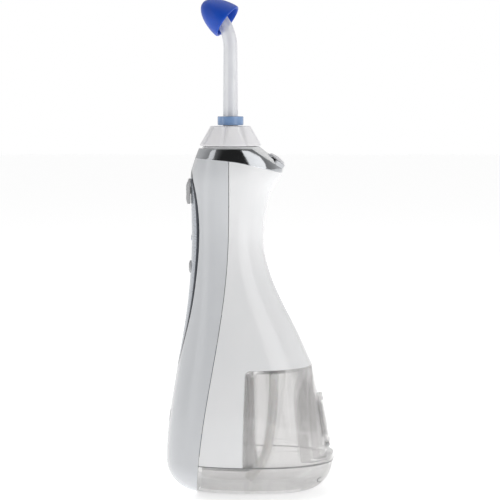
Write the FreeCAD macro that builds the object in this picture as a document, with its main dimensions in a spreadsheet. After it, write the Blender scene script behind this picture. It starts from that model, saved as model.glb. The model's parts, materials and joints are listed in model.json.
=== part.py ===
"""Cordless handheld irrigator with a swivelling nose-cone tip, as a parametric assembly.

Frame: millimetres, +Z up, origin on the floor under the middle of the base.
-X is the front with the control panel, +X is the rear with the water tank.
"""
import FreeCAD
import Part
import math
import os
import re
import Sketcher

DOC = FreeCAD.newDocument("Irrigator")
SHEET = DOC.addObject("Spreadsheet::Sheet", "Sizes")

# Driving dimensions in millimetres, degrees or tooth counts.
SIZES = {
    # case
    "wall": 2.4, "seam_gap": 0.3, "base_round": 19.0, "fit_gap": 0.3, "run_gap": 0.05,
    # water tank and the bay that it fills
    "tank_wall": 2.0, "deck_top": 19.4, "bay_top": 75.3, "bay_front": -3.0, "bay_half": 30.0,
    "bay_bulge": 5.2, "bay_round": 3.0, "port_radius": 7.0,
    "recess_depth": 3.2, "recess_low": 22.5, "recess_half": 22.0, "recess_middle": 30.0, "recess_rise": 45.0,
    # fill door
    "door_skin": 1.6, "door_low": 30.2, "door_middle": 36.0, "door_rise": 22.0, "door_half": 12.5,
    "fill_low": 33.5, "fill_middle": 38.0, "fill_rise": 15.0, "fill_half": 9.0,
    "hinge_x": 45.8, "hinge_z": 28.3, "hinge_pin_radius": 0.75, "knuckle_radius": 1.45,
    "knuckle_half": 5.8, "lug_half": 8.4,
    "lug_front": 43.6, "lug_low": 27.0, "lug_top": 29.6, "pad_front": 42.2, "pad_half": 11.0,
    "pad_low": 22.0, "pad_top": 32.5, "pocket_front": 44.1, "pocket_low": 25.6, "pocket_top": 31.5,
    "arm_back": 47.2,
    # chrome band and top cap
    "band_top": 202.6, "band_wall": 2.0, "slope_start": 1.2, "slope_angle": 34.0,
    "cap_top": 203.8, "crown_angle": 39.0, "crown_radius": 40.0, "crown_x": 5.9, "cap_wall": 3.4,
    # control panel
    "panel_depth": 1.2, "trim_width": 2.3, "panel_middle": 150.0, "panel_up": 41.0, "panel_down": 78.0,
    "panel_half": 13.3, "panel_power": 2.3,
    # head
    "head_x": -11.4, "head_turn": -13.0, "dial_low": 204.1, "dial_top": 215.6, "dial_radius": 17.9,
    "dial_top_radius": 12.1, "dial_wall": 2.0, "flute_count": 8, "flute_radius": 4.0, "flute_depth": 2.0,
    "seat_radius": 6.0, "seat_low": 190.5, "stub_radius": 3.55, "stub_low": 199.0, "socket_radius": 8.6,
    "socket_flange": 13.5, "socket_low": 187.0, "socket_floor": 3.0, "water_bore": 1.5, "nipple_radius": 2.6,
    "ring_low": 216.2, "ring_top": 221.3, "ring_radius": 7.6, "tube_low_radius": 4.4, "tube_top_radius": 4.0,
    "bend_low": 261.0, "bend_radius": 27.5, "bend_angle": 54.0, "tube_end": 2.5,
    "cone_length": 18.8, "cone_radius": 10.65, "cone_wall": 1.5, "cone_back": 12.0, "sleeve_radius": 5.4,
    # buttons
    "eject_x": 15.2, "eject_z": 195.4, "eject_angle": 37.0, "eject_half": 5.0, "eject_wide": 6.0,
    "eject_proud": 2.6, "eject_travel": 1.2, "eject_stem": 5.0, "eject_stem_half": 2.2,
    "eject_stem_wide": 3.6, "eject_dome": 16.0,
    "coil_radius": 1.5, "coil_wire": 0.3, "coil_pitch": 1.2,
    "eject_stem_shift": -1.8,
    "switch_low": 170.2, "switch_top": 184.8, "switch_face": -37.3, "switch_back": -35.15,
    "switch_half": 4.5,
    "switch_travel": 4.0, "stem_low": 176.0, "stem_top": 180.0, "stem_half": 1.8, "stem_back": -31.2,
    "mode_z": 132.8, "mode_radius": 3.9, "mode_face": -35.9, "mode_back": -31.3, "mode_flange": 4.7,
    "lamp_z": 150.0, "lamp_radius": 1.7, "lamp_face": -34.5, "lamp_back": -31.0,
    # circuit board
    "board_front": -29.4, "board_thick": 1.2, "board_low": 108.0, "board_top": 186.0, "board_half": 9.0,
    "post_y": 6.5, "post_low": 115.0, "post_high": 161.0, "post_radius": 2.1,
    # battery
    "cell_x": -24.0, "cell_y": 9.7, "cell_radius": 9.1, "cell_low": 24.2, "cell_length": 65.0,
    # pump drive
    "drive_x": -10.4, "rod_y": -3.3, "motor_z": 100.0, "motor_radius": 10.2, "motor_front": -4.0,
    "motor_length": 25.0, "shaft_radius": 1.0, "gear_module": 0.6, "pinion_teeth": 12, "crank_teeth": 52,
    "gear_low": -13.0, "gear_thick": 4.0, "mesh_gap": 0.1, "axle_radius": 1.5, "crank_throw": 4.0,
    "rod_length": 24.0, "rod_thick": 4.0, "eye_radius": 3.4, "pin_radius": 1.25,
    "piston_radius": 4.0, "piston_low": 150.6, "piston_top": 165.5, "cylinder_low": 151.6,
    "cylinder_top": 168.0, "cylinder_radius": 7.0, "head_block_top": 177.0,
    # suction and charging
    "hose_x": 14.2, "hose_radius": 2.8, "inlet_x": -0.6, "inner_hose_radius": 1.9,
    "nipple_low": 73.0, "nipple_top": 84.0, "nipple_bore": 1.2, "nipple_stem": 2.0,
    "frame_left": -16.4, "frame_wall": 2.0, "frame_low": 89.4,
    "charge_z": 45.0, "plug_radius": 4.7, "plug_stub": 2.2, "jack_radius": 3.8, "jack_back": -34.0,
}

# Cross-sections of the case: height, front, rear, half width, height of the widest point along X.
SECTION_FIELDS = ("height", "front", "rear", "half", "middle")
SECTIONS = (
    (0.0, -49.6, 49.7, 34.0, 4.0),
    (19.2, -49.6, 49.7, 34.0, 4.0),
    (30.0, -49.2, 49.0, 33.8, 3.4),
    (48.0, -47.2, 46.1, 32.8, 2.0),
    (62.0, -45.0, 42.0, 31.3, 0.0),
    (77.0, -42.5, 35.8, 29.5, -2.5),
    (95.0, -39.3, 27.6, 26.8, -5.5),
    (113.0, -36.7, 18.4, 24.1, -9.0),
    (130.0, -35.1, 11.4, 21.9, -12.0),
    (148.0, -34.3, 8.0, 20.5, -13.2),
    (166.0, -34.5, 9.4, 20.3, -12.8),
    (179.0, -34.8, 13.2, 20.9, -11.8),
    (188.6, -34.6, 18.9, 21.2, -11.4),
    (193.5, -33.4, 18.9, 20.9, -11.4),
    (203.0, -29.9, 11.5, 19.0, -11.4),
    (209.0, -27.6, 8.0, 17.6, -11.4),
)
# The seam between the two case halves, as X at a height.
SEAM = ((-31.2, -1.0), (-28.2, 37.0), (-19.1, 91.0), (-13.2, 139.0), (-12.4, 178.0), (-12.4, 215.0))
# The lower edge of the chrome band, as X at a height.
BAND_EDGE = ((-42.0, 197.4), (-22.0, 196.4), (-5.2, 194.3), (4.0, 192.1), (26.0, 187.0))
# The suction hose's route inside the tank, from the nipple to its cut end.
HOSE_ROUTE = (
    (14.2, 0.0, 73.0), (14.2, 0.0, 58.5), (13.2, 0.3, 44.0),
    (11.6, 0.2, 29.5), (8.6, 0.0, 16.2), (-1.2, -0.4, 6.0),
)
# The inlet hose's route inside the case, from the nipple round the motor to the pump head.
INLET_ROUTE = (
    (14.2, 0.0, 84.0), (14.2, 0.0, 95.0), (12.6, 1.0, 106.0), (8.8, 2.4, 117.0), (5.0, 2.8, 128.0),
    (2.4, 1.6, 139.0), (0.8, -1.2, 149.0), (-0.6, -3.3, 157.0), (-0.6, -3.3, 163.5),
)
SLAB = 60.0
NODES = []


def fill_sheet():
    """Write every driving dimension to the sheet, one alias to a row."""
    cells = dict(SIZES)
    for number, section in enumerate(SECTIONS, 1):
        for field, amount in zip(SECTION_FIELDS, section):
            cells[f"section_{number}_{field}"] = amount
    for row, (alias, amount) in enumerate(cells.items(), 1):
        SHEET.set(f"A{row}", alias)
        SHEET.set(f"B{row}", str(amount))
        SHEET.setAlias(f"B{row}", alias)
    DOC.recompute()


def size(alias):
    """Read one driving dimension from the sheet."""
    return float(SHEET.get(alias))


def formula(text):
    """Write a formula of aliases the way that an expression of the document needs it."""
    def full(word):
        return "Sizes." + word[0] if word[0] in SIZES else word[0]
    return re.sub(r"[a-z_][a-z_0-9]*", full, text)


def value(text):
    """Work out a formula of aliases."""
    return float(SHEET.evalExpression(formula(text)))


def vector(x, y, z):
    """Short name for a point."""
    return FreeCAD.Vector(x, y, z)


def bind(thing, **formulas):
    """Bind properties of a document object to formulas of the sheet."""
    for name, text in formulas.items():
        thing.setExpression(name, formula(text))
    return thing


def place(thing, x="0", y="0", z="0", rotation=None):
    """Turn a document object and bind its position to formulas of the sheet."""
    thing.Placement = FreeCAD.Placement(vector(0, 0, 0), rotation or FreeCAD.Rotation())
    for axis, text in zip("xyz", (x, y, z)):
        thing.setExpression(f"Placement.Base.{axis}", formula(text))
    return thing


ALONG_X = FreeCAD.Rotation(vector(0, 1, 0), 90)
ALONG_Y = FreeCAD.Rotation(vector(1, 0, 0), -90)


def node(thing, label):
    """Name a finished sub-part, which is written to a file of that name."""
    thing.Label = label
    NODES.append(thing)
    return thing


def cylinder(name, radius, height, x="0", y="0", z="0", rotation=None):
    """A round bar from (x, y, z) along +Z, or along the axis that the rotation gives."""
    thing = DOC.addObject("Part::Cylinder", name)
    return place(bind(thing, Radius=radius, Height=height), x, y, z, rotation)


def box(name, low, high):
    """A block between two corners, each given as three formulas."""
    thing = DOC.addObject("Part::Box", name)
    spans = [f"({b}) - ({a})" for a, b in zip(low, high)]
    bind(thing, Length=spans[0], Width=spans[1], Height=spans[2])
    return place(thing, *low)


def cut(name, base, tool):
    """The base with the tool taken away."""
    thing = DOC.addObject("Part::Cut", name)
    thing.Base = base
    thing.Tool = tool
    return thing


def fuse(name, *shapes):
    """Several shapes joined."""
    thing = DOC.addObject("Part::MultiFuse", name)
    thing.Shapes = list(shapes)
    return thing


def freeform(name, shape):
    """A document object that holds a shape made by code."""
    thing = DOC.addObject("Part::Feature", name)
    thing.Shape = shape
    return thing


def closed_sketch(body, role, outline):
    """A closed outline of straight lines in one of the body's planes, each corner bound to the sheet."""
    sketch = body.newObject("Sketcher::SketchObject", body.Name + "_outline")
    plane = next(f for f in body.Origin.OriginFeatures if f.Role == role)
    sketch.AttachmentSupport = [(plane, "")]
    sketch.MapMode = "FlatFace"
    corners = [vector(value(a), value(b), 0) for a, b in outline]
    count = len(corners)
    for i in range(count):
        sketch.addGeometry(Part.LineSegment(corners[i], corners[(i + 1) % count]), False)
    for i in range(count):
        sketch.addConstraint(Sketcher.Constraint("Coincident", i, 2, (i + 1) % count, 1))
    for i, texts in enumerate(outline):
        for kind, text, amount, axis in zip(("DistanceX", "DistanceY"), texts, corners[i], (-2, -1)):
            if abs(amount) < 1e-9:
                sketch.addConstraint(Sketcher.Constraint("PointOnObject", i, 1, axis))
            else:
                number = sketch.addConstraint(Sketcher.Constraint(kind, -1, 1, i, 1, amount))
                sketch.setExpression(f"Constraints[{number}]", formula(text))
    return sketch


def turned(name, outline, x="0", y="0", z="0", rotation=None):
    """A body turned about its Z axis from an outline of (radius, height) formulas."""
    body = DOC.addObject("PartDesign::Body", name)
    sketch = closed_sketch(body, "XZ_Plane", outline)
    turn = body.newObject("PartDesign::Revolution", name + "_turn")
    turn.Profile = sketch
    turn.ReferenceAxis = (sketch, ["V_Axis"])
    turn.Angle = 360
    sketch.Visibility = False
    return place(body, x, y, z, rotation)


def padded(name, outline, height, x="0", y="0", z="0", rotation=None):
    """A body padded along its Z axis from an outline of (X, Y) formulas."""
    body = DOC.addObject("PartDesign::Body", name)
    sketch = closed_sketch(body, "XY_Plane", outline)
    pad = body.newObject("PartDesign::Pad", name + "_pad")
    pad.Profile = sketch
    bind(pad, Length=height)
    sketch.Visibility = False
    return place(body, x, y, z, rotation)


def ring_outline(inner, outer, low, high):
    """The outline of a plain ring, for turning."""
    return [(inner, low), (outer, low), (outer, high), (inner, high)]


def spline(points):
    """A smooth edge through points of the XZ plane, as curves on the far side of every slab."""
    curve = Part.BSplineCurve()
    curve.interpolate([vector(x, -SLAB, z) for x, z in points])
    return curve.toShape()


def slab(edges):
    """The solid that a closed outline in the XZ plane sweeps across the whole width."""
    return Part.Face(Part.Wire(edges)).extrude(vector(0, 2 * SLAB, 0))


def lines(points):
    """Straight edges from point to point of the XZ plane."""
    ends = [vector(x, -SLAB, z) for x, z in points]
    return [Part.LineSegment(a, b).toShape() for a, b in zip(ends, ends[1:])]


def egg(across, up, down, half, power, point):
    """A smooth closed curve: `up` and `down` reach from the middle, `half` to each side."""
    count = 20
    points = []
    for step in range(count):
        turn = 2 * math.pi * step / count
        long = math.copysign(abs(math.cos(turn)) ** (2 / power), math.cos(turn))
        wide = math.copysign(abs(math.sin(turn)) ** (2 / power), math.sin(turn))
        points.append(point(across + long * (up if long >= 0 else down), half * wide))
    curve = Part.BSplineCurve()
    curve.interpolate(Points=points, PeriodicFlag=True)
    return Part.Wire([curve.toShape()])


def skin(depth):
    """The case's outer form, shrunk by depth(height) everywhere, with a rounded foot."""
    wires = []
    for number in range(1, len(SECTIONS) + 1):
        height, front, rear, half, middle = (size(f"section_{number}_{f}") for f in SECTION_FIELDS)
        inset = depth(height)
        power = 2.3 - 0.3 * height / size("section_13_height")
        level = height if number > 1 else depth(0)
        wires.append(egg(middle, rear - inset - middle, middle - front - inset, half - inset, power,
                         lambda x, y, z=level: vector(x, y, z)))
    body = Part.makeLoft(wires, True, False)
    foot = [edge for edge in body.Edges if edge.BoundBox.ZMax < depth(0) + 0.01]
    return body.makeFillet(size("base_round") - depth(0), foot)


def even(amount):
    """The same depth at every height."""
    return lambda height: amount


def behind_seam(shift):
    """Everything behind the seam between the two case halves."""
    seam = [(x + shift, z) for x, z in SEAM]
    return slab([spline(seam)] + lines([seam[-1], (2 * SLAB, seam[-1][1]), (2 * SLAB, seam[0][1]), seam[0]]))


def bay(grow):
    """The space that the tank takes: a tall part behind a bulging wall, and a tray below the deck."""
    half = size("bay_half")
    bulge = size("bay_bulge")
    radius = (half ** 2 + bulge ** 2) / (2 * bulge)
    top = size("bay_top") + grow
    deck = size("deck_top") + grow
    low = deck - 5
    crest = size("bay_front") + bulge
    tall = Part.makeBox(2 * SLAB, 2 * SLAB, top - low, vector(-SLAB / 3, -SLAB, low))
    wall = Part.makeCylinder(radius - grow, top, vector(crest - radius, 0, 0))
    tall = tall.cut(wall)
    corner = [edge for edge in tall.Edges
              if edge.BoundBox.ZMin > top - 0.01 and edge.Curve.TypeId == "Part::GeomCircle"]
    tall = tall.makeFillet(size("bay_round") + max(grow, 0), corner)
    below_deck = Part.makeBox(4 * SLAB, 2 * SLAB, deck + 2, vector(-2 * SLAB, -SLAB, -2))
    tray = behind_seam(-grow).common(below_deck)
    return tall.fuse(tray).removeSplitter()


def above_band_edge():
    """Everything above the chrome band's lower edge."""
    first, last = BAND_EDGE[0], BAND_EDGE[-1]
    top = 4 * SLAB
    return slab([spline(BAND_EDGE)] + lines([last, (last[0], top), (first[0], top), first]))


def above_band_top():
    """Everything above the chrome band's upper edge: level in front, sloping down to the rear."""
    start = size("slope_start")
    level = size("band_top")
    drop = SLAB * math.tan(math.radians(size("slope_angle")))
    top = 4 * SLAB
    return slab(lines([(-SLAB, level), (start, level), (start + SLAB, level - drop), (start + SLAB, top),
                       (-SLAB, top), (-SLAB, level)]))


def under_crown(inset):
    """Everything under the cap's crowned top, lowered by the inset."""
    angle = math.radians(size("crown_angle"))
    radius = size("crown_radius")
    along = vector(math.cos(angle), 0, -math.sin(angle))
    up = vector(math.sin(angle), 0, math.cos(angle))
    crest = vector(size("crown_x"), 0, size("cap_top") - 0.4)
    start = crest - up * radius - along * 2 * SLAB
    crown = Part.makeCylinder(radius - inset, 4 * SLAB, start, along)
    flat = Part.makeBox(2 * SLAB, 2 * SLAB, size("cap_top") - inset, vector(-SLAB, -SLAB, 0))
    return crown.common(flat)


def oval(middle, up, down, half, power, start, length):
    """A bar along +X whose section is an egg in the YZ plane."""
    wire = egg(middle, up, down, half, power, lambda z, y: vector(start, y, z))
    return Part.Face(wire).extrude(vector(length, 0, 0))


def panel_bar(inset):
    """A bar through the front with the control panel's outline, drawn in by the inset."""
    return oval(size("panel_middle"), size("panel_up") - inset, size("panel_down") - inset,
                size("panel_half") - inset, size("panel_power"), -SLAB, SLAB - 15)


def bar_x(radius, y, z, start, end):
    """A round bar along +X."""
    return Part.makeCylinder(radius, end - start, vector(start, y, z), vector(1, 0, 0))


def block(low, high):
    """A plain block between two corners."""
    return Part.makeBox(*(b - a for a, b in zip(low, high)), vector(*low))


SCREW_Y = 22.8
SCREW_Z = 40.0
BOSS_RADIUS = 2.8
BOSS_JOINT = -12.0


def front_holes():
    """The openings in the front wall: switch slot, mode button, lamp and charging plug."""
    slot = block((-SLAB, -size("stem_half") - 0.3, size("stem_low") - size("switch_travel") - 0.3),
                 (size("stem_back"), size("stem_half") + 0.3, size("stem_top") + 0.3))
    mode = bar_x(size("mode_radius") + 0.3, 0, size("mode_z"), -SLAB, size("mode_back"))
    lamp = bar_x(size("lamp_radius"), 0, size("lamp_z"), -SLAB, size("lamp_back"))
    return [slot, mode, lamp]


def case(outer, inner):
    """The two case halves around the battery and pump."""
    hollow = inner.cut(bay(size("wall")))
    body = outer.cut(hollow).cut(bay(0)).cut(above_band_edge())
    front = body.cut(behind_seam(0))
    rear = body.common(behind_seam(size("seam_gap")))
    pocket_floor = skin(even(size("panel_depth")))
    front = front.cut(panel_bar(0).cut(pocket_floor))
    posts = [bar_x(size("post_radius"), side * size("post_y"), size(level), -SLAB, size("board_front"))
             for side in (-1, 1) for level in ("post_low", "post_high")]
    posts += [bar_x(BOSS_RADIUS, side * SCREW_Y, SCREW_Z, -SLAB, BOSS_JOINT) for side in (-1, 1)]
    within = skin(even(size("wall") - 0.6))
    front = front.fuse([post.common(within) for post in posts])
    plug_rim = bar_x(size("plug_radius") + 0.3, 0, size("charge_z"), -SLAB, -35).cut(pocket_floor)
    jack = bar_x(size("jack_radius"), 0, size("charge_z"), -SLAB, -35)
    pilots = [bar_x(1.0, side * SCREW_Y, SCREW_Z, -22, -11) for side in (-1, 1)]
    front = front.cut(front_holes() + [plug_rim, jack] + pilots)
    bosses = [bar_x(BOSS_RADIUS, side * SCREW_Y, SCREW_Z, BOSS_JOINT, -0.5).cut(bay(0)) for side in (-1, 1)]
    nipple = Part.makeCylinder(2.0, 6, vector(size("hose_x"), 0, size("bay_top") - 1))
    clearance = [bar_x(1.45, side * SCREW_Y, SCREW_Z, -13, 4) for side in (-1, 1)]
    heads = [bar_x(2.8, side * SCREW_Y, SCREW_Z, -3.4, 4) for side in (-1, 1)]
    rear = rear.fuse(bosses).cut([nipple] + clearance + heads)
    node(freeform("FrontShell", front), "front_shell")
    node(freeform("RearShell", rear), "rear_shell")
    return pocket_floor


def panel(outer, pocket_floor):
    """The flush control panel, its chrome trim, and the lamp's lens."""
    layer = outer.cut(pocket_floor)
    face = layer.common(panel_bar(size("trim_width"))).cut(front_holes())
    trim = layer.common(panel_bar(0)).cut(panel_bar(size("trim_width")))
    node(freeform("Panel", face), "control_panel")
    node(freeform("PanelTrim", trim), "panel_trim")
    lens = bar_x(size("lamp_radius"), 0, size("lamp_z"), size("lamp_face"), size("lamp_back"))
    node(freeform("LampLens", lens), "lamp_lens")


def head_case(outer):
    """The chrome band, and the white cap that plugs it and carries the dial."""
    above = above_band_edge()
    lining = skin(even(size("band_wall")))
    band = outer.common(above).cut(above_band_top()).cut(lining)
    node(freeform("ChromeBand", band), "chrome_band")
    inside = skin(even(size("band_wall") + size("cap_wall")))
    cap = lining.common(above).common(under_crown(0))
    hollow = inside.common(under_crown(size("cap_wall")))
    cap = cap.cut(hollow)
    bore = Part.makeCylinder(size("seat_radius") + size("run_gap") + 0.3, 60, vector(size("head_x"), 0, 180))
    screws = [Part.makeCylinder(1.2, 20, vector(x, y, 192)) for x, y in cap_screw_places()]
    cap = cap.cut([bore] + eject_pockets() + screws)
    cap = max(cap.Solids, key=lambda solid: solid.Volume)
    node(freeform("TopCap", cap), "top_cap")


def cap_screw_places():
    """Where the two screws under the dial hold the nozzle socket."""
    return [(size("head_x"), side * 11.0) for side in (-1, 1)]


def eject_frame():
    """The eject button's own frame: its middle on the slope, and its press direction."""
    turn = FreeCAD.Rotation(vector(0, 1, 0), size("eject_angle"))
    return FreeCAD.Placement(vector(size("eject_x"), 0, size("eject_z")), turn)


def rounded_block(half, wide, low, high, shift=0.0):
    """A block with rounded upright edges, in the eject button's frame."""
    shape = Part.makeBox(2 * half, 2 * wide, high - low, vector(shift - half, -wide, low))
    upright = [edge for edge in shape.Edges if edge.BoundBox.ZLength > 0.5]
    shape = shape.makeFillet(half - 0.4, upright)
    shape.Placement = eject_frame()
    return shape


def eject_pockets():
    """The room in the cap for the eject button's plate and stem."""
    gap = size("fit_gap")
    plate = rounded_block(size("eject_half") + gap, size("eject_wide") + gap,
                          -size("eject_travel") - gap, 20)
    stem = rounded_block(size("eject_stem_half") + gap, size("eject_stem_wide") + gap, -20, 0,
                         size("eject_stem_shift"))
    return [plate, stem]


def eject_button():
    """The grey eject button on the sloping cap, with a domed top, and its return spring."""
    plate = rounded_block(size("eject_half"), size("eject_wide"), 0, size("eject_proud"))
    stem = rounded_block(size("eject_stem_half"), size("eject_stem_wide"), -size("eject_stem"), 1,
                         size("eject_stem_shift"))
    frame = eject_frame()
    radius = size("eject_dome")
    dome = Part.makeSphere(radius, frame.multVec(vector(0, 0, size("eject_proud") - radius)))
    node(freeform("EjectButton", plate.common(dome).fuse(stem)), "eject_button")
    coil = Part.makeHelix(size("coil_pitch"), 3 * size("coil_pitch"), size("coil_radius"))
    start = vector(size("coil_radius"), 0, 0)
    wire = Part.Wire([Part.Circle(start, vector(0, 1, 0), size("coil_wire")).toShape()])
    spring = Part.Wire(coil.Edges).makePipeShell([wire], True, True)
    foot = vector(size("eject_stem_shift"), 0, -size("eject_stem") - 4.2)
    spring.Placement = frame.multiply(FreeCAD.Placement(foot, FreeCAD.Rotation()))
    node(freeform("EjectSpring", spring), "eject_spring")


def recess_depth(height):
    """How deep the tank's rear recess lies under the skin: fading out towards the top."""
    fade = (size("bay_top") + 1.7 - height) / 17
    return size("recess_depth") * min(max(fade, 0), 1)


def rear_arch(low, middle, rise, half, start):
    """A bar through the rear wall with an arched outline that is level at its foot."""
    arch = oval(middle, rise, rise, half, 2.2, start, 2 * SLAB)
    return arch.common(block((0, -SLAB, low), (3 * SLAB, SLAB, 2 * SLAB)))


def fill_arch(inset):
    """The fill opening's outline, drawn in by the inset."""
    return rear_arch(size("fill_low") + inset, size("fill_middle"), size("fill_rise") - inset,
                     size("fill_half") - inset, 20)


def hinge_bar(radius, half):
    """A round bar on the fill door's hinge axis."""
    foot = vector(size("hinge_x"), -half, size("hinge_z"))
    return Part.makeCylinder(radius, 2 * half, foot, vector(0, 1, 0))


def tank(outer):
    """The clear water tank with its rear recess, hose port and fill opening."""
    gap = size("fit_gap")
    wall = size("tank_wall")
    body = outer.common(bay(-gap))
    recess = rear_arch(size("recess_low"), size("recess_middle"), size("recess_rise"),
                       size("recess_half"), 15)
    body = body.cut(recess.cut(skin(recess_depth)))
    space = skin(even(wall)).common(bay(-gap - wall))
    backing = rear_arch(size("recess_low") - wall, size("recess_middle"), size("recess_rise") + wall,
                        size("recess_half") + wall, 12)
    space = space.cut(backing.cut(skin(lambda height: recess_depth(height) + wall)))
    pad_half = size("pad_half")
    pad = block((size("pad_front"), -pad_half, size("pad_low")), (SLAB, pad_half, size("pad_top")))
    space = space.cut(pad)
    lug_half = size("lug_half")
    pocket = block((size("pocket_front"), -lug_half - gap, size("pocket_low")),
                   (SLAB, lug_half + gap, size("pocket_top")))
    port = Part.makeCylinder(size("port_radius"), 10, vector(size("hose_x"), 0, size("bay_top") - 6))
    body = body.cut([space, pocket, port, fill_arch(0)])
    between = size("knuckle_half") + gap
    root = block((size("lug_front"), -lug_half, size("lug_low")),
                 (size("hinge_x"), lug_half, size("lug_top")))
    lug = hinge_bar(size("knuckle_radius"), lug_half).fuse(root)
    lug = lug.cut(block((0, -between, 0), (SLAB, between, SLAB)))
    body = body.fuse(lug).cut(hinge_bar(size("hinge_pin_radius"), 20))
    node(freeform("Tank", body), "water_tank")
    node(freeform("HingePin", hinge_bar(size("hinge_pin_radius"), size("lug_half"))), "door_hinge_pin")


def fill_door():
    """The arched fill door with its pull lip and knuckle, and the rubber plug behind it."""
    gap = size("fit_gap")
    under = skin(lambda height: recess_depth(height) - gap)
    over = skin(even(size("door_skin")))
    arch = rear_arch(size("door_low"), size("door_middle"), size("door_rise"), size("door_half"), 20)
    plate = over.common(arch).cut(under)
    lip = rear_arch(size("door_middle") + size("door_rise") - 3.4, size("door_middle"), size("door_rise"),
                    size("door_half"), 20)
    plate = plate.fuse(skin(even(size("door_skin") - 1.0)).common(lip).cut(over))
    arm = block((size("hinge_x"), -size("knuckle_half"), size("hinge_z")),
                (size("arm_back"), size("knuckle_half"), size("pocket_top")))
    knuckle = hinge_bar(size("knuckle_radius"), size("knuckle_half")).fuse(arm)
    plate = plate.fuse(knuckle).cut(hinge_bar(size("hinge_pin_radius") + size("run_gap"), 20))
    node(freeform("FillDoor", plate), "fill_door")
    deep = skin(lambda height: recess_depth(height) + 1.6)
    plug = under.common(fill_arch(0.45)).cut(deep).cut(fill_arch(2.4))
    node(freeform("DoorSeal", plug), "door_seal")


def charging():
    """The charging jack behind the front wall and the rubber plug that covers it."""
    level = size("charge_z")
    jack = bar_x(size("jack_radius"), 0, level, -44.5, size("jack_back"))
    jack = jack.cut(bar_x(size("plug_stub") + 0.3, 0, level, -SLAB, -38))
    node(freeform("ChargeJack", jack), "charge_jack")
    cover = skin(even(0)).cut(skin(even(size("panel_depth") - 0.2)))
    cover = cover.common(bar_x(size("plug_radius"), 0, level, -SLAB, -35))
    stub = bar_x(size("plug_stub"), 0, level, -46.6, -39.5)
    node(freeform("ChargePlug", cover.fuse(stub)), "charge_plug")


def dial():
    """The fluted white dial that turns the tip."""
    low, high, wall = "dial_low", "dial_top", "dial_wall"
    knob = turned("DialBlank", [
        ("seat_radius", f"{high} - {wall}"), ("dial_top_radius - 2.2", f"{high} - {wall}"),
        (f"dial_radius - {wall} - 0.6", low), ("dial_radius", low), ("dial_radius", f"{low} + 0.7"),
        ("dial_top_radius + 0.25", f"{high} - 0.5"), ("dial_top_radius - 0.5", high), ("seat_radius", high),
    ], x="head_x")
    rise = value("dial_top - dial_low - 1.4")
    top_axis = value("dial_top_radius - flute_depth + flute_radius")
    low_axis = value("dial_radius + flute_radius - 0.3")
    lean = FreeCAD.Rotation(vector(0, 0, 1), vector(top_axis - low_axis, 0, rise))
    flutes = []
    for number in range(int(size("flute_count"))):
        bearing = size("head_turn") + 360 * (number + 0.5) / size("flute_count")
        turn = FreeCAD.Rotation(vector(0, 0, 1), bearing)
        flute = DOC.addObject("Part::Cylinder", f"Flute{number}")
        bind(flute, Radius="flute_radius", Height="dial_top - dial_low + 12")
        foot = turn.multVec(vector(low_axis, 0, 0))
        foot = foot + vector(size("head_x"), 0, value("dial_low + 1.4"))
        flute.Placement = FreeCAD.Placement(foot, turn * lean)
        flutes.append(flute)
    node(cut("Dial", knob, fuse("Flutes", *flutes)), "nozzle_dial")
    seat = turned("Seat", [
        ("stub_radius + run_gap", "stub_low - 1.0"), ("stub_radius + run_gap", "dial_top"),
        ("seat_radius", "dial_top"), ("seat_radius", "seat_low + 4.4"),
        ("seat_radius - 1.0", "seat_low + 4.4"), ("seat_radius - 1.0", "seat_low + 2.6"),
        ("seat_radius", "seat_low + 2.6"), ("seat_radius", "seat_low"),
        ("water_bore", "seat_low"), ("water_bore", "stub_low - 1.0"),
    ], x="head_x")
    node(seat, "nozzle_seat")
    seal = DOC.addObject("Part::Torus", "SeatSeal")
    bind(seal, Radius1="seat_radius - 0.5", Radius2="0.5")
    node(place(seal, "head_x", "0", "seat_low + 3.5"), "seat_seal")
    socket = turned("Socket", [
        ("seat_radius + run_gap", "socket_low + socket_floor"),
        ("seat_radius + run_gap", "cap_top - cap_wall - 0.2"),
        ("socket_flange", "cap_top - cap_wall - 0.2"), ("socket_flange", "cap_top - cap_wall - 2.4"),
        ("socket_radius", "cap_top - cap_wall - 2.4"), ("socket_radius", "socket_low"),
        ("nipple_radius", "socket_low"), ("nipple_radius", "socket_low - 3.6"),
        ("water_bore", "socket_low - 3.6"), ("water_bore", "socket_low + socket_floor"),
    ], x="head_x")
    holes = [cylinder(f"SocketHole{i}", "1.0", "10", "head_x", str(y), "cap_top - cap_wall - 5")
             for i, (_, y) in enumerate(cap_screw_places())]
    node(cut("NozzleSocket", socket, fuse("SocketHoles", *holes)), "nozzle_socket")
    screws = []
    for i, (_, y) in enumerate(cap_screw_places()):
        screws.append(turned(f"CapScrew{i}", [
            ("0", "cap_top - 6.5"), ("1.0", "cap_top - 6.5"), ("1.0", "cap_top - 0.9"),
            ("1.2", "cap_top - 0.9"), ("1.2", "cap_top - 0.1"), ("0", "cap_top - 0.1"),
        ], x="head_x", y=str(y)))
    compound = DOC.addObject("Part::Compound", "CapScrews")
    compound.Links = screws
    node(compound, "cap_screws")


def bend_path():
    """The tube's centre line from the ring to its end inside the cone, in the head's turned plane."""
    turn = FreeCAD.Rotation(vector(0, 0, 1), size("head_turn"))
    angle = math.radians(size("bend_angle"))
    radius = size("bend_radius")
    base = vector(size("head_x"), 0, size("bend_low"))

    def on_arc(part):
        return base + turn.multVec(vector(-radius * (1 - math.cos(part)), 0, radius * math.sin(part)))
    along = turn.multVec(vector(-math.sin(angle), 0, math.cos(angle)))
    end = on_arc(angle)
    arc = Part.Arc(base, on_arc(angle / 2), end).toShape()
    run = Part.LineSegment(end, end + along * size("tube_end")).toShape()
    return base, arc, run, end, along


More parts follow.
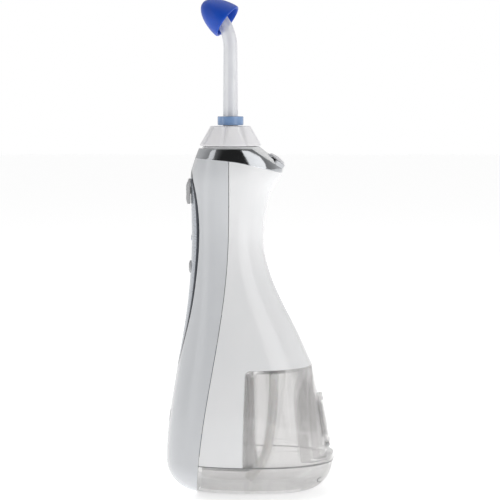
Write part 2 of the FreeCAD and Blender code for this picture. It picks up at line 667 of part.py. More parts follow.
def tip():
    """The clear bent tube, its blue collar, and the soft blue nose cone."""
    base, arc, run, end, along = bend_path()
    low_radius, top_radius = size("tube_low_radius"), size("tube_top_radius")
    low = size("ring_low") - 0.4
    straight = Part.makeCone(low_radius, top_radius, base.z - low, vector(base.x, 0, low))
    ring_plane = Part.Wire([Part.Circle(base, vector(0, 0, 1), top_radius).toShape()])
    bent = Part.Wire([arc, run]).makePipeShell([ring_plane], True, False)
    bore_start = vector(base.x, 0, size("stub_low"))
    stub = Part.makeCylinder(size("stub_radius"), low - size("stub_low"), bore_start)
    bore_path = Part.Wire([Part.LineSegment(bore_start, base).toShape(), arc, run])
    bore_ring = Part.Wire([Part.Circle(bore_start, vector(0, 0, 1), size("water_bore")).toShape()])
    bore = bore_path.makePipeShell([bore_ring], True, False)
    tube = straight.fuse([bent, stub]).cut(bore).removeSplitter()
    node(freeform("TipTube", tube), "tip_tube")
    taper = value("(tube_low_radius - tube_top_radius) / (bend_low - ring_low + 0.4)")
    hole = [low_radius - taper * (size(edge) - low) for edge in ("ring_low", "ring_top")]
    foot = vector(base.x, 0, size("ring_low"))
    collar = Part.makeCylinder(size("ring_radius"), value("ring_top - ring_low"), foot)
    edges = [e for e in collar.Edges if e.BoundBox.ZLength < 0.01]
    collar = collar.makeFillet(0.5, edges)
    core = Part.makeCone(hole[0], hole[1], value("ring_top - ring_low"), foot)
    node(freeform("TipRing", collar.cut(core)), "tip_ring")
    nose_cone(end, along)


def nose_cone(end, along):
    """The hollow bell of soft silicone, closed round the tube's end by an inner sleeve."""
    length, radius, wall = size("cone_length"), size("cone_radius"), size("cone_wall")
    tube, sleeve = size("tube_top_radius"), size("sleeve_radius")
    back = size("cone_back")
    tip_depth = back + size("tube_end")

    def bell(reach, wide):
        curve = Part.BSplineCurve()
        curve.interpolate([vector(wide * r, 0, reach * z) for r, z in
                           ((1.0, 0.0), (0.93, 0.3), (0.75, 0.6), (0.45, 0.86), (0.2, 0.97), (0.0, 1.0))])
        return curve.toShape()

    def solid(reach, wide):
        axis = [vector(0, 0, reach), vector(0, 0, 0), vector(wide, 0, 0)]
        flat = [Part.LineSegment(a, b).toShape() for a, b in zip(axis, axis[1:])]
        face = Part.Face(Part.Wire([bell(reach, wide)] + flat))
        return face.revolve(vector(0, 0, 0), vector(0, 0, 1), 360)
    outside = solid(length, radius)
    inside = solid(length - wall - 0.8, radius - wall)
    post = Part.makeCylinder(sleeve, length, vector(0, 0, back - 2.0)).common(outside)
    shape = outside.cut(inside).fuse(post)
    shape = shape.cut([Part.makeCylinder(tube, tip_depth),
                       Part.makeCylinder(size("water_bore") * 0.7, 2 * length)])
    shape.Placement = FreeCAD.Placement(end - along * back, FreeCAD.Rotation(vector(0, 0, 1), along))
    node(freeform("NoseCone", shape), "nose_cone")


def switch_and_mode():
    """The sliding power switch and the round mode button on the front."""
    face, back, half = "switch_face", "switch_back", "switch_half"
    block_body = padded("SwitchCap", [
        (back, "switch_low"), (back, "switch_top"), (f"{back} - 0.9", "switch_top"),
        (face, "switch_top - 3.2"),
        (face, "switch_low + 2.0"), (f"{face} + 0.7", "switch_low"),
    ], f"2 * {half}", y=f"{half}", rotation=FreeCAD.Rotation(vector(1, 0, 0), 90))
    stem = box("SwitchStem", (back, "-stem_half", "stem_low"), ("stem_back", "stem_half", "stem_top"))
    node(fuse("PowerSwitch", block_body, stem), "power_switch")
    button = turned("ModeButton", [
        ("0", "0"), ("mode_radius - 0.6", "0.15"), ("mode_radius", "0.8"),
        ("mode_radius", "mode_back - mode_face - 0.6"),
        ("mode_flange", "mode_back - mode_face - 0.6"), ("mode_flange", "mode_back - mode_face"),
        ("0", "mode_back - mode_face"),
    ], x="mode_face", z="mode_z", rotation=ALONG_X)
    node(button, "mode_button")


def electronics():
    """The circuit board with its switches and lamp, and the battery cells in their cradle."""
    back = "board_front + board_thick"
    board = box("Board", ("board_front", "-board_half", "board_low"), (back, "board_half", "board_top"))
    places = [(side, level) for side in ("-post_y", "post_y") for level in ("post_low", "post_high")]
    holes = [cylinder(f"BoardHole{i}", "0.9", "4", "board_front - 1", y, z, ALONG_X)
             for i, (y, z) in enumerate(places)]
    node(cut("CircuitBoard", board, fuse("BoardHoles", *holes)), "circuit_board")
    screws = [turned(f"BoardScrew{i}", [
        ("0", "0"), ("1.6", "0"), ("1.6", "-1.1"), ("0", "-1.1"),
    ], f"{back}", y, z, FreeCAD.Rotation(vector(0, 1, 0), -90)) for i, (y, z) in enumerate(places)]
    group = DOC.addObject("Part::Compound", "BoardScrews")
    group.Links = screws
    node(group, "board_screws")
    slide = box("SlideSwitch", ("stem_back + 0.3", "-3.5", "stem_low - switch_travel - 2"),
                ("board_front", "3.5", "stem_top + 2"))
    node(slide, "slide_switch")
    tact = box("TactBase", ("board_front - 0.6", "-3", "mode_z - 3"), ("board_front", "3", "mode_z + 3"))
    nub = cylinder("TactNub", "1.5", "0.9", "board_front - 1.0", "0", "mode_z", ALONG_X)
    node(fuse("TactSwitch", tact, nub), "mode_tact_switch")
    lamp = box("Lamp", ("board_front - 1.2", "-1.2", "lamp_z - 1.2"), ("board_front", "1.2", "lamp_z + 1.2"))
    node(lamp, "lamp_led")
    for side, name in ((-1, "left"), (1, "right")):
        cell = turned(f"Cell{name}", [
            ("0", "0"), ("cell_radius - 0.5", "0"), ("cell_radius", "0.5"),
            ("cell_radius", "cell_length - 1.5"),
            ("cell_radius - 0.5", "cell_length - 1"), ("2.8", "cell_length - 1"), ("2.8", "cell_length"),
            ("0", "cell_length"),
        ], "cell_x", f"{side} * cell_y", "cell_low")
        node(cell, f"battery_cell_{name}")
    clip = box("Cradle", ("cell_x - 6", "-cell_y - 6", "cell_low - 1.8"),
               ("cell_x + 6", "cell_y + 6", "cell_low"))
    spine = box("Spine", ("cell_x - 6", "-0.5", "cell_low"), ("cell_x + 6", "0.5", "cell_low + 50"))
    node(fuse("BatteryCradle", clip, spine), "battery_cradle")


def toothed(teeth, bore, thick):
    """A spur gear along +Z with straight-flanked teeth cut a little thin, so that a pair runs freely."""
    module = size("gear_module")
    pitch = module * teeth / 2
    rim = ((-0.62, -1.2), (-0.4, 0.0), (-0.2, 0.85), (0.2, 0.85), (0.4, 0.0), (0.62, -1.2))
    points = []
    for tooth in range(teeth):
        for across, out in rim:
            radius = pitch + module * out
            turn = 2 * math.pi * tooth / teeth + across * module * math.pi / 2 / radius
            points.append(vector(radius * math.cos(turn), radius * math.sin(turn), 0))
    blank = Part.Face(Part.makePolygon(points + points[:1])).extrude(vector(0, 0, thick))
    return blank.cut(Part.makeCylinder(bore, thick))


def crank_height():
    """The height of the crank gear's axle over the base."""
    return value("motor_z + gear_module * (pinion_teeth + crank_teeth) / 2 + mesh_gap")


def gears():
    """The motor with its shaft and pinion, and the crank gear on its axle."""
    front, radius, length = "motor_front", "motor_radius", "motor_length"
    can = turned("MotorCan", [
        ("2.6", "0"), (radius, "0"), (radius, length), ("2.6", length), ("2.6", f"{length} - 1"),
        (f"{radius} - 1", f"{length} - 1"), (f"{radius} - 1", "1"), ("2.6", "1"),
    ], "drive_x", front, "motor_z", ALONG_Y)
    node(can, "motor_can")
    bushes = [turned(f"Bush{i}", ring_outline("shaft_radius + run_gap", "2.6", low, f"{low} + 1"),
                     "drive_x", front, "motor_z", ALONG_Y) for i, low in enumerate(("0", f"{length} - 1"))]
    pair = DOC.addObject("Part::Compound", "MotorBushes")
    pair.Links = bushes
    node(pair, "motor_bushes")
    node(turned("MotorShaft", ring_outline("0", "shaft_radius", "gear_low - 1", f"{front} + {length}"),
                "drive_x", "0", "motor_z", ALONG_Y), "motor_shaft")
    armature = ring_outline("shaft_radius", f"{radius} - 2.2", f"{front} + 3", f"{front} + {length} - 3")
    node(turned("Armature", armature, "drive_x", "0", "motor_z", ALONG_Y), "motor_armature")
    pinion = toothed(int(size("pinion_teeth")), size("shaft_radius"), size("gear_thick"))
    thing = freeform("Pinion", pinion)
    half_tooth = 180 / size("pinion_teeth")
    thing.Placement = FreeCAD.Placement(vector(size("drive_x"), size("gear_low"), size("motor_z")),
                                        ALONG_Y * FreeCAD.Rotation(vector(0, 0, 1), -90 + half_tooth))
    node(thing, "motor_pinion")
    bore = size("axle_radius") + size("run_gap")
    wheel = toothed(int(size("crank_teeth")), bore, size("gear_thick"))
    reach = size("rod_y") - size("rod_thick") / 2 - 0.3 - size("gear_low")
    pin = Part.makeCylinder(size("pin_radius"), reach - 1, vector(0, -size("crank_throw"), 1))
    web = Part.makeCylinder(2.6, 1.2, vector(0, -size("crank_throw"), size("gear_thick") - 0.5))
    thing = freeform("CrankGear", wheel.fuse([pin, web]))
    thing.Placement = FreeCAD.Placement(vector(size("drive_x"), size("gear_low"), crank_height()), ALONG_Y)
    node(thing, "crank_gear")


def pump_frame():
    """The moulded frame that holds the motor, the crank's axle and the pump cylinder."""
    axle_z = "motor_z + gear_module * (pinion_teeth + crank_teeth) / 2 + mesh_gap"
    left, face, right = "frame_left", "frame_left + frame_wall", "motor_front"
    low, top = "frame_low", "cylinder_low"
    side = box("FrameSide", ("drive_x - 6", left, low), ("drive_x + 5", face, top))
    foot = box("FrameFoot", ("-1", left, "bay_top + wall"), ("8", face, "motor_z - 1"))
    brace = box("FrameBrace", ("drive_x", left, low), ("8", face, "motor_z - 1"))
    mount = box("FrameMount", ("drive_x - 10", f"{right} - frame_wall", low),
                ("drive_x + 10", right, "motor_z + 8"))
    web = box("FrameWeb", ("drive_x - 10", left, low), ("drive_x + 10", right, f"{low} + frame_wall"))
    tab = box("FrameTab", ("drive_x - 6", left, f"{top} - frame_wall"), ("drive_x + 5", "-11.4", top))
    shelf = box("FrameShelf", ("drive_x - 7", "-11.6", f"{top} - frame_wall"), ("drive_x + 7.4", "4.5", top))
    solid = fuse("FrameSolid", side, foot, brace, mount, web, tab, shelf)
    holes = fuse("FrameHoles",
                 cylinder("FrameNose", "3.2", "6", "drive_x", "motor_front - 4", "motor_z", ALONG_Y),
                 cylinder("FrameAxle", "axle_radius", "6", "drive_x", "-18", axle_z, ALONG_Y),
                 cylinder("FrameBore", "piston_radius + 0.6", "6", "drive_x", "rod_y", "cylinder_low - 4"))
    node(cut("PumpFrame", solid, holes), "pump_frame")
    axle = cylinder("CrankAxle", "axle_radius", "gear_low + gear_thick - 0.6 - frame_left", "drive_x", left,
                    axle_z, ALONG_Y)
    node(axle, "crank_axle")


def piston_group():
    """The piston with its seal and wrist pin, and the connecting rod that hangs from it."""
    wrist = crank_height() + size("crank_throw") + size("rod_length")
    plunger = turned("Plunger", [
        ("0", "piston_low"), ("piston_radius", "piston_low"), ("piston_radius", "piston_top - 4"),
        ("piston_radius - 1", "piston_top - 4"), ("piston_radius - 1", "piston_top - 2"),
        ("piston_radius", "piston_top - 2"), ("piston_radius", "piston_top"), ("0", "piston_top"),
    ], "drive_x", "rod_y")
    DOC.recompute()
    x, y, half = size("drive_x"), size("rod_y"), size("rod_thick") / 2
    fork = Part.makeCylinder(size("piston_radius"), 7.5, vector(x, y, wrist - 3.5))
    slot = block((x - 5, y - half - 0.3, wrist - 5), (x + 5, y + half + 0.3, size("piston_low")))
    bore = Part.makeCylinder(size("pin_radius"), 20, vector(x, y - 10, wrist), vector(0, 1, 0))
    piston = plunger.Shape.fuse(fork).cut([slot, bore])
    node(freeform("Piston", piston), "piston")
    ring = ring_outline("piston_radius - 1", "piston_radius", "piston_top - 4", "piston_top - 2")
    seal = turned("PistonSeal", ring, "drive_x", "rod_y")
    node(seal, "piston_seal")
    reach = math.sqrt(size("piston_radius") ** 2 - size("pin_radius") ** 2)
    pin = Part.makeCylinder(size("pin_radius"), 2 * reach - 0.4, vector(x, y - reach + 0.2, wrist),
                            vector(0, 1, 0))
    node(freeform("WristPin", pin), "wrist_pin")
    low = wrist - size("rod_length")
    ends = [Part.makeCylinder(r, 2 * half, vector(x, y - half, z), vector(0, 1, 0))
            for r, z in ((2.6, wrist), (size("eye_radius"), low))]
    beam = block((x - 1.5, y - half, low), (x + 1.5, y + half, wrist))
    hole = size("pin_radius") + size("run_gap")
    holes = [Part.makeCylinder(hole, 2 * half, vector(x, y - half, z), vector(0, 1, 0))
             for z in (wrist, low)]
    node(freeform("ConnectingRod", beam.fuse(ends).cut(holes)), "connecting_rod")


def pump():
    """The pump cylinder, its valve head, the two valves, and the hoses to and from it."""
    node(turned("PumpCylinder", [
        ("piston_radius + run_gap", "cylinder_low"), ("cylinder_radius", "cylinder_low"),
        ("cylinder_radius", "cylinder_top"), ("piston_radius + run_gap", "cylinder_top"),
    ], "drive_x", "rod_y"), "pump_cylinder")
    low, top = "cylinder_top", "head_block_top"
    block_body = box("HeadBlock", ("drive_x - 9", "-9.5", low), ("inlet_x + 3", "5", top))
    ports = fuse("HeadPorts",
                 cylinder("ChamberOut", "2.2", f"{top} - {low} - 2.0", "head_x", "0", low),
                 cylinder("OutletBore", "water_bore", "20", "head_x", "0", low),
                 cylinder("ChamberIn", "2.2", "4.0", "inlet_x", "rod_y", f"{low} + 2"),
                 cylinder("InletBore", "1.1", "9", "inlet_x", "rod_y", f"{low} - 5"),
                 cylinder("CrossBore", "1.1", "inlet_x - drive_x", "drive_x", "rod_y", f"{low} + 4.8",
                          ALONG_X),
                 cylinder("DownBore", "1.1", "4.8", "drive_x", "rod_y", low))
    stubs = fuse("HeadStubs",
                 cylinder("OutletStub", "nipple_radius", "socket_low - 3.6 - head_block_top - 0.4", "head_x",
                          "0", top),
                 cylinder("InletStub", "inner_hose_radius", "4.5", "inlet_x", "rod_y", f"{low} - 4.5"))
    node(cut("PumpHead", fuse("HeadSolid", block_body, stubs), ports), "pump_head")
    node(cylinder("OutletValve", "1.9", "0.8", "head_x", "0", f"{top} - 3.0"), "outlet_valve")
    node(cylinder("InletValve", "1.9", "0.8", "inlet_x", "rod_y", f"{low} + 2.4"), "inlet_valve")
    node(turned("OutletCoupling", ring_outline("nipple_radius", "nipple_radius + 1.4", f"{top} + 0.2",
                "socket_low - 0.2"), x="head_x"), "outlet_coupling")


def hose_solid(points, radius):
    """A tube along straight runs joined by tangent arcs, as large as the runs allow."""
    points = [vector(*p) for p in points]
    edges = []
    start = points[0]
    for before, here, after in zip(points, points[1:], points[2:]):
        come, leave = here - before, after - here
        shorter = min(come.Length, leave.Length)
        half_turn = come.getAngle(leave) / 2
        bend = 0.45 * shorter / math.tan(half_turn)
        first = here - come.normalize() * 0.45 * shorter
        last = here + leave.normalize() * 0.45 * shorter
        towards = (come * -1 + leave).normalize()
        middle = here + towards * (bend / math.cos(half_turn) - bend)
        edges.append(Part.LineSegment(start, first).toShape())
        edges.append(Part.Arc(first, middle, last).toShape())
        start = last
        print(f"hose bend radius {bend:.1f} mm")
    edges.append(Part.LineSegment(start, points[-1]).toShape())
    path = Part.Wire(edges)
    ring = Part.Wire([Part.Circle(points[0], points[1] - points[0], radius).toShape()])
    tube = path.makePipeShell([ring], True, False)
    expected = path.Length * math.pi * radius ** 2
    print(f"hose length {path.Length:.1f} mm, volume {tube.Volume:.0f}, expected {expected:.0f}")
    return tube


def water_lines():
    """The nipple in the bay's ceiling, the hose that hangs in the tank, and the inner inlet hose."""
    node(turned("HoseNipple", [
        ("nipple_bore", "nipple_low"), ("hose_radius", "nipple_low"), ("hose_radius", "bay_top"),
        ("nipple_stem", "bay_top"), ("nipple_stem", "nipple_top"), ("nipple_bore", "nipple_top"),
    ], x="hose_x"), "hose_nipple")
    seal = ring_outline("hose_radius", "port_radius - fit_gap", "nipple_low + 0.3", "bay_top")
    node(turned("TankSeal", seal, x="hose_x"), "tank_seal")
    node(freeform("SuctionHose", hose_solid(HOSE_ROUTE, size("hose_radius"))), "suction_hose")
    node(freeform("InletHose", hose_solid(INLET_ROUTE, size("inner_hose_radius"))), "inlet_hose")


def case_screws():
    """The two screws that reach through the bay's wall into the front shell."""
    screws = []
    for side in (-1, 1):
        shank = bar_x(1.0, side * SCREW_Y, SCREW_Z, -21, -3)
        head = bar_x(2.5, side * SCREW_Y, SCREW_Z, -3.4, -1.9)
        screws.append(shank.fuse(head))
    node(freeform("CaseScrews", Part.makeCompound(screws)), "case_screws")


def build():
    """Make every sub-part of the document."""
    fill_sheet()
    outer = skin(even(0))
    inner = skin(even(size("wall")))
    pocket_floor = case(outer, inner)
    panel(outer, pocket_floor)
    head_case(outer)
    eject_button()
    tank(outer)
    fill_door()
    charging()
    dial()
    tip()
    switch_and_mode()
    electronics()
    gears()
    pump_frame()
    piston_group()
    pump()
    water_lines()
    case_screws()
    DOC.recompute()


def check():
    """Stop if an object failed or a sub-part's shape isn't whole."""
    for thing in DOC.Objects:
        if "Invalid" in thing.State or "Error" in thing.State:
            raise RuntimeError(f"{thing.Name} ({thing.Label}): {thing.State}")
    for thing in NODES:
        if thing.Shape.isNull() or not thing.Shape.isValid() or not thing.Shape.Solids:
            raise RuntimeError(f"{thing.Label} has no valid solid")


def export():
    """Write each sub-part to its own file."""
    os.makedirs("parts", exist_ok=True)
    for thing in NODES:
        thing.Shape.exportStep(f"parts/{thing.Label}.step")
        solids = len(thing.Shape.Solids)
        print(f"{thing.Label}: {solids} solid(s), {thing.Shape.Volume:.1f} mm3")


build()
check()
export()
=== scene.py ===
"""Looks of the cordless ear and nose irrigator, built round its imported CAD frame. Lengths are metres."""

from __future__ import annotations

import json
import logging
import math
from collections.abc import Mapping, Sequence
from dataclasses import dataclass
from enum import Enum

import bmesh
import bpy
from mathutils import Matrix, Vector
from mathutils.bvhtree import BVHTree

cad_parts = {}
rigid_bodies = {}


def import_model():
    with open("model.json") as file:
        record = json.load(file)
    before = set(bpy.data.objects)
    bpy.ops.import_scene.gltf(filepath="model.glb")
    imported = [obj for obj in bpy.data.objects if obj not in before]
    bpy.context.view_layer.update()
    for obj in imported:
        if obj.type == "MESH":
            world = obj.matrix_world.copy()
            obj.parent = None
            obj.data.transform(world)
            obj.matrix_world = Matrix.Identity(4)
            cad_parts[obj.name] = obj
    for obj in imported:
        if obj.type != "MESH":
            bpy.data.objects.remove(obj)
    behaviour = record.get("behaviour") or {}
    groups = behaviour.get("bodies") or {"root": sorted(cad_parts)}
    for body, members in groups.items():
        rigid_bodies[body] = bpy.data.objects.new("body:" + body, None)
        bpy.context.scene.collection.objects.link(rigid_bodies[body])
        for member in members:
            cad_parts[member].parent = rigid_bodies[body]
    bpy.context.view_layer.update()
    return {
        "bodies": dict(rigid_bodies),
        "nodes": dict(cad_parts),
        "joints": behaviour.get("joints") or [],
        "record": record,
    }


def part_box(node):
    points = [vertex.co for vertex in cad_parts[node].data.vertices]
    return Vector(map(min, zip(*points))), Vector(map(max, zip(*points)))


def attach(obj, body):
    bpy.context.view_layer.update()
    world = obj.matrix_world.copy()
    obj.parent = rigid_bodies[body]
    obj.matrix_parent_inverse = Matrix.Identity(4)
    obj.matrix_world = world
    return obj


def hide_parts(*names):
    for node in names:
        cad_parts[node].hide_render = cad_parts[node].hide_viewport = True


LOG = logging.getLogger("irrigator")
MM = 0.001

RAMP_STOPS = (0.3, 0.7)  # the part of a noise pattern that the two shades lie between
BRUSH_STRETCH = (1.0, 1.0, 0.04)  # how a cloud pattern is drawn out to brush lines
CLOUD_DETAIL = 3.0
CLOUD_ROUGHNESS = 0.55
BUMP_STRENGTH = 0.5
EDGE_BLEND = 0.45  # how soon a clear wall turns dense towards its edge
EDGE_FACING = (0.15, 0.95)  # the facing values between which a clear wall goes from clear to dense
WELD_DISTANCE = 2e-6  # metres within which a CAD node's loose corners are one
CUT_DISTANCE = 4e-5  # metres within which a cut outline's points are one
SHARP_ANGLE = 50.0  # the least angle in degrees that counts as a sharp edge


# Finishes


def linear(shade: str) -> tuple[float, float, float, float]:
    """Turn an sRGB hex colour to linear light.

    Args:
        shade: six hex digits after a hash.

    Returns:
        Linear red, green, blue and an alpha of one.
    """
    parts = [int(shade[i:i + 2], 16) / 255 for i in (1, 3, 5)]
    bent = [c / 12.92 if c <= 0.04045 else ((c + 0.055) / 1.055) ** 2.4 for c in parts]
    return (*bent, 1.0)


def add(tree: bpy.types.NodeTree, kind: str, inputs: Mapping[str | int, object] | None = None,
        **settings: object) -> bpy.types.Node:
    """Add one node with its settings, and set or link its inputs.

    Args:
        tree: the node tree that gets the node.
        kind: the node's Blender type.
        inputs: input name or index to a value, or to the socket that feeds it.
        settings: the node's own properties.

    Returns:
        The new node.
    """
    node = tree.nodes.new(kind)
    for name, value in settings.items():
        setattr(node, name, value)
    for name, value in (inputs or {}).items():
        if isinstance(value, bpy.types.NodeSocket):
            tree.links.new(value, node.inputs[name])
        else:
            node.inputs[name].default_value = value
    return node


def remap(tree: bpy.types.NodeTree, value: bpy.types.NodeSocket, taken: tuple[float, float],
          given: tuple[float, float]) -> bpy.types.NodeSocket:
    """Add a node that maps one range of values to another.

    Args:
        tree: the node tree that gets the node.
        value: the socket that feeds it.
        taken: the range that is read.
        given: the range that it becomes.

    Returns:
        The socket that gives the mapped value.
    """
    node = add(tree, "ShaderNodeMapRange", {"Value": value, "From Min": taken[0], "From Max": taken[1],
                                            "To Min": given[0], "To Max": given[1]})
    return node.outputs["Result"]


class Grain(Enum):
    """How a surface's fine pattern runs."""

    CLOUD = "cloud"
    BRUSHED = "brushed"
    FLAKE = "flake"


@dataclass(frozen=True)
class Finish:
    """One real finish: what it is made of and how its surface was made."""

    name: str
    slot: str
    shades: tuple[str, str]
    roughness: tuple[float, float]
    patch_mm: float
    grain_mm: float
    grain_depth_mm: float
    grain: Grain = Grain.CLOUD
    metallic: float = 0.0
    ior: float = 1.5
    coat: float = 0.0
    coat_roughness: float = 0.05
    transmission: float = 0.0
    alpha: float = 1.0
    subsurface: float = 0.0
    subsurface_mm: float = 1.0
    sheen: float = 0.0
    edge: tuple[float, float] | None = None

    def pattern(self, tree: bpy.types.NodeTree, size_mm: float) -> bpy.types.NodeSocket:
        """Make the finish's pattern at a real size in Object coordinates.

        Args:
            tree: the material's node tree.
            size_mm: the width of one feature.

        Returns:
            The socket that gives the pattern, from 0 to 1.
        """
        place = add(tree, "ShaderNodeTexCoord").outputs["Object"]
        scale = 1.0 / (size_mm * MM)
        if self.grain is Grain.FLAKE:
            cells = add(tree, "ShaderNodeTexVoronoi", {"Vector": place, "Scale": scale}, feature="F1")
            return cells.outputs["Distance"]
        if self.grain is Grain.BRUSHED:
            drawn = add(tree, "ShaderNodeMapping", {"Vector": place, "Scale": BRUSH_STRETCH})
            place = drawn.outputs["Vector"]
        cloud = add(tree, "ShaderNodeTexNoise", {"Vector": place, "Scale": scale, "Detail": CLOUD_DETAIL,
                                                 "Roughness": CLOUD_ROUGHNESS})
        return cloud.outputs["Fac"]

    def make(self) -> bpy.types.Material:
        """Build the Blender material.

        Returns:
            The material, named for the finish.
        """
        material = bpy.data.materials.new(self.name)
        material.use_nodes = True
        tree = material.node_tree
        tree.nodes.clear()
        broad = self.pattern(tree, self.patch_mm)
        fine = self.pattern(tree, self.grain_mm)
        ramp = add(tree, "ShaderNodeValToRGB", {"Fac": broad})
        for stop, shade, at in zip(ramp.color_ramp.elements, self.shades, RAMP_STOPS):
            stop.color = linear(shade)
            stop.position = at
        rough = remap(tree, broad, RAMP_STOPS, self.roughness)
        bump = add(tree, "ShaderNodeBump", {"Height": fine, "Strength": BUMP_STRENGTH,
                                            "Distance": self.grain_depth_mm * MM})
        inputs = {
            "Base Color": ramp.outputs["Color"], "Roughness": rough,
            "Normal": bump.outputs["Normal"], "Metallic": self.metallic, "IOR": self.ior,
            "Coat Weight": self.coat, "Coat Roughness": self.coat_roughness,
            "Transmission Weight": self.transmission, "Alpha": self.alpha,
            "Subsurface Weight": self.subsurface, "Subsurface Scale": self.subsurface_mm * MM,
            "Sheen Weight": self.sheen,
        }
        if self.edge:
            facing = add(tree, "ShaderNodeLayerWeight", {"Blend": EDGE_BLEND}).outputs["Facing"]
            inputs["Alpha"] = remap(tree, facing, EDGE_FACING, self.edge)
        surface = add(tree, "ShaderNodeBsdfPrincipled", inputs)
        add(tree, "ShaderNodeOutputMaterial", {"Surface": surface.outputs["BSDF"]})
        return material


# Gloss ABS from a polished mould: white, a clear even shine, and a faint orange peel.
GLOSS_ABS = Finish("gloss_white_abs", "white_abs", ("#F0F1F2", "#F4F4F5"), (0.16, 0.24), 30, 2.2, 0.006,
                   coat=0.35, coat_roughness=0.06)
# The front half is the same gloss ABS, set a shade greyer than the rear.
FRONT_ABS = Finish("gloss_grey_white_abs", "white_abs", ("#D8DADD", "#DCDEE1"), (0.16, 0.24), 30, 2.2, 0.006,
                   coat=0.35, coat_roughness=0.06)
# The dial is the same ABS from a lightly etched mould, so its shine is softer.
DIAL_ABS = Finish("satin_white_abs", "dial_abs", ("#FCFBFE", "#FFFEFF"), (0.28, 0.36), 12, 0.5, 0.006)
# Bright nickel and chrome plated on ABS: a mirror with the faint swirls of polishing.
PLATED = Finish("plated_abs", "chrome", ("#B4B6B9", "#BEC0C3"), (0.07, 0.14), 9, 1.2, 0.0008, metallic=1.0)
# The panel's trim is chrome plate given a dark colour: a painted dark reflection.
DARK_REFLECTION_PLATE = Finish("chrome_painted_dark_reflection", "chrome", ("#3A3D43", "#44474D"), (0.10, 0.16), 9, 1.2, 0.0008,
                      metallic=1.0)
# Silver flake lacquer under clear coat: cool grey with a fine sparkle.
SILVER = Finish("silver_lacquer", "silver_panel", ("#AAAFB7", "#B1B6BE"), (0.26, 0.38), 1.2, 0.35, 0.001,
                grain=Grain.FLAKE, metallic=0.55, coat=0.6)
# ABS keys from a spark-eroded mould: light grey and dull, with a grain that the thumb feels.
KEY_ABS = Finish("eroded_grey_abs", "grey_key", ("#C3C3C4", "#CACACB"), (0.42, 0.52), 6, 0.35, 0.02)
# The eject key comes from a polished mould in a paler grey than the other keys.
PALE_KEY_ABS = Finish("polished_pale_grey_abs", "grey_key", ("#D9D8DC", "#DFDEE2"), (0.14, 0.22), 8, 1.2,
                      0.005, coat=0.4)
# Moulded clear SAN, slightly smoky: partly clear face on and dense at its edges.
CLEAR_SAN = Finish("clear_smoky_san", "clear_tank", ("#C6C4C3", "#CDCBCA"), (0.03, 0.06), 24, 8, 0.004,
                   ior=1.5, coat=1.0, transmission=0.8, edge=(0.38, 0.80))
# A slightly denser, darker smoky line round the tank at its tray's top: painted shade where that corner shows
# through the clear wall.
DENSE_SAN_AND_SHADE = Finish("dense_smoky_san_and_shade", "clear_tank", ("#8E8F90", "#9A9B9C"), (0.12, 0.2), 6, 1, 0.004, ior=1.57,
              alpha=0.75)
# Drawn clear polycarbonate with a milky cast: clearer face on, so lighter down its front, and denser towards
# its edges.
CLEAR_TUBE = Finish("clear_polycarbonate", "clear_tube", ("#EEEFF4", "#F4F5F8"), (0.08, 0.14), 10, 3, 0.004,
                    ior=1.58, edge=(0.45, 0.95))
# Tinted clear polycarbonate: the blue deepens where the wall is seen edge on.
COLLAR = Finish("tinted_blue_polycarbonate", "blue_collar", ("#86A9D8", "#93B3DF"), (0.10, 0.16), 6, 2, 0.003,
                ior=1.58, coat=0.5, edge=(0.82, 1.0))
# Soft silicone from a polished mould: deep blue with a silky, slightly waxy shine.
SILICONE = Finish("blue_silicone", "blue_silicone", ("#0748B8", "#0C50C4"), (0.34, 0.44), 8, 0.6, 0.008,
                  ior=1.43, subsurface=0.12, subsurface_mm=1.2, sheen=0.1)
# Extruded silicone hose: milky, and a little dusty from handling.
HOSE = Finish("milky_silicone_hose", "hose_silicone", ("#F6F4F0", "#FAF8F5"), (0.30, 0.42), 6, 0.8, 0.01,
              ior=1.43, edge=(0.38, 0.75), subsurface=0.2, subsurface_mm=1.5)
# Moulded nitrile: mid grey and matt.
NITRILE = Finish("grey_nitrile", "grey_rubber", ("#57585A", "#646567"), (0.55, 0.7), 4, 0.3, 0.015, ior=1.52)
# Moulded acrylic lens over the lamp: milky, so that it spreads the light.
LENS = Finish("diffusing_lens", "lamp_lens", ("#CFE0F2", "#DDE9F6"), (0.2, 0.3), 3, 0.4, 0.004, ior=1.49,
              alpha=0.85, subsurface=0.2)
# Solder mask printed on the circuit board: a satin green.
MASK = Finish("green_solder_mask", "board_green", ("#0E4A26", "#14582F"), (0.25, 0.4), 5, 0.5, 0.02)
# Black moulded nylon of the small electrical parts.
BLACK = Finish("black_moulded_nylon", "black_plastic", ("#1B1B1D", "#242427"), (0.4, 0.55), 5, 0.3, 0.015)
# Heat-shrunk sleeve on the cells: smooth, with a dull shine.
SLEEVE = Finish("shrink_sleeve", "cell_wrap", ("#2A5E93", "#316AA3"), (0.22, 0.3), 14, 4, 0.02)
# Turned and ground steel of shafts, pins and screws.
STEEL = Finish("turned_steel", "steel", ("#A2A4A6", "#B4B6B8"), (0.22, 0.34), 0.8, 0.2, 0.003,
               grain=Grain.BRUSHED, metallic=1.0)
# Turned brass.
BRASS = Finish("turned_brass", "brass", ("#B8954B", "#C7A55C"), (0.2, 0.32), 0.8, 0.2, 0.003,
               grain=Grain.BRUSHED, metallic=1.0)
# Moulded acetal of the gears and the rod: off-white and waxy.
ACETAL = Finish("white_acetal", "white_acetal", ("#DEDCD4", "#E6E4DD"), (0.32, 0.42), 6, 0.4, 0.008, ior=1.48)
# Glass-filled nylon of the pump and the frame: grey and matt.
NYLON = Finish("grey_glass_nylon", "grey_nylon", ("#55575B", "#606266"), (0.42, 0.55), 3, 0.3, 0.015,
               ior=1.53)
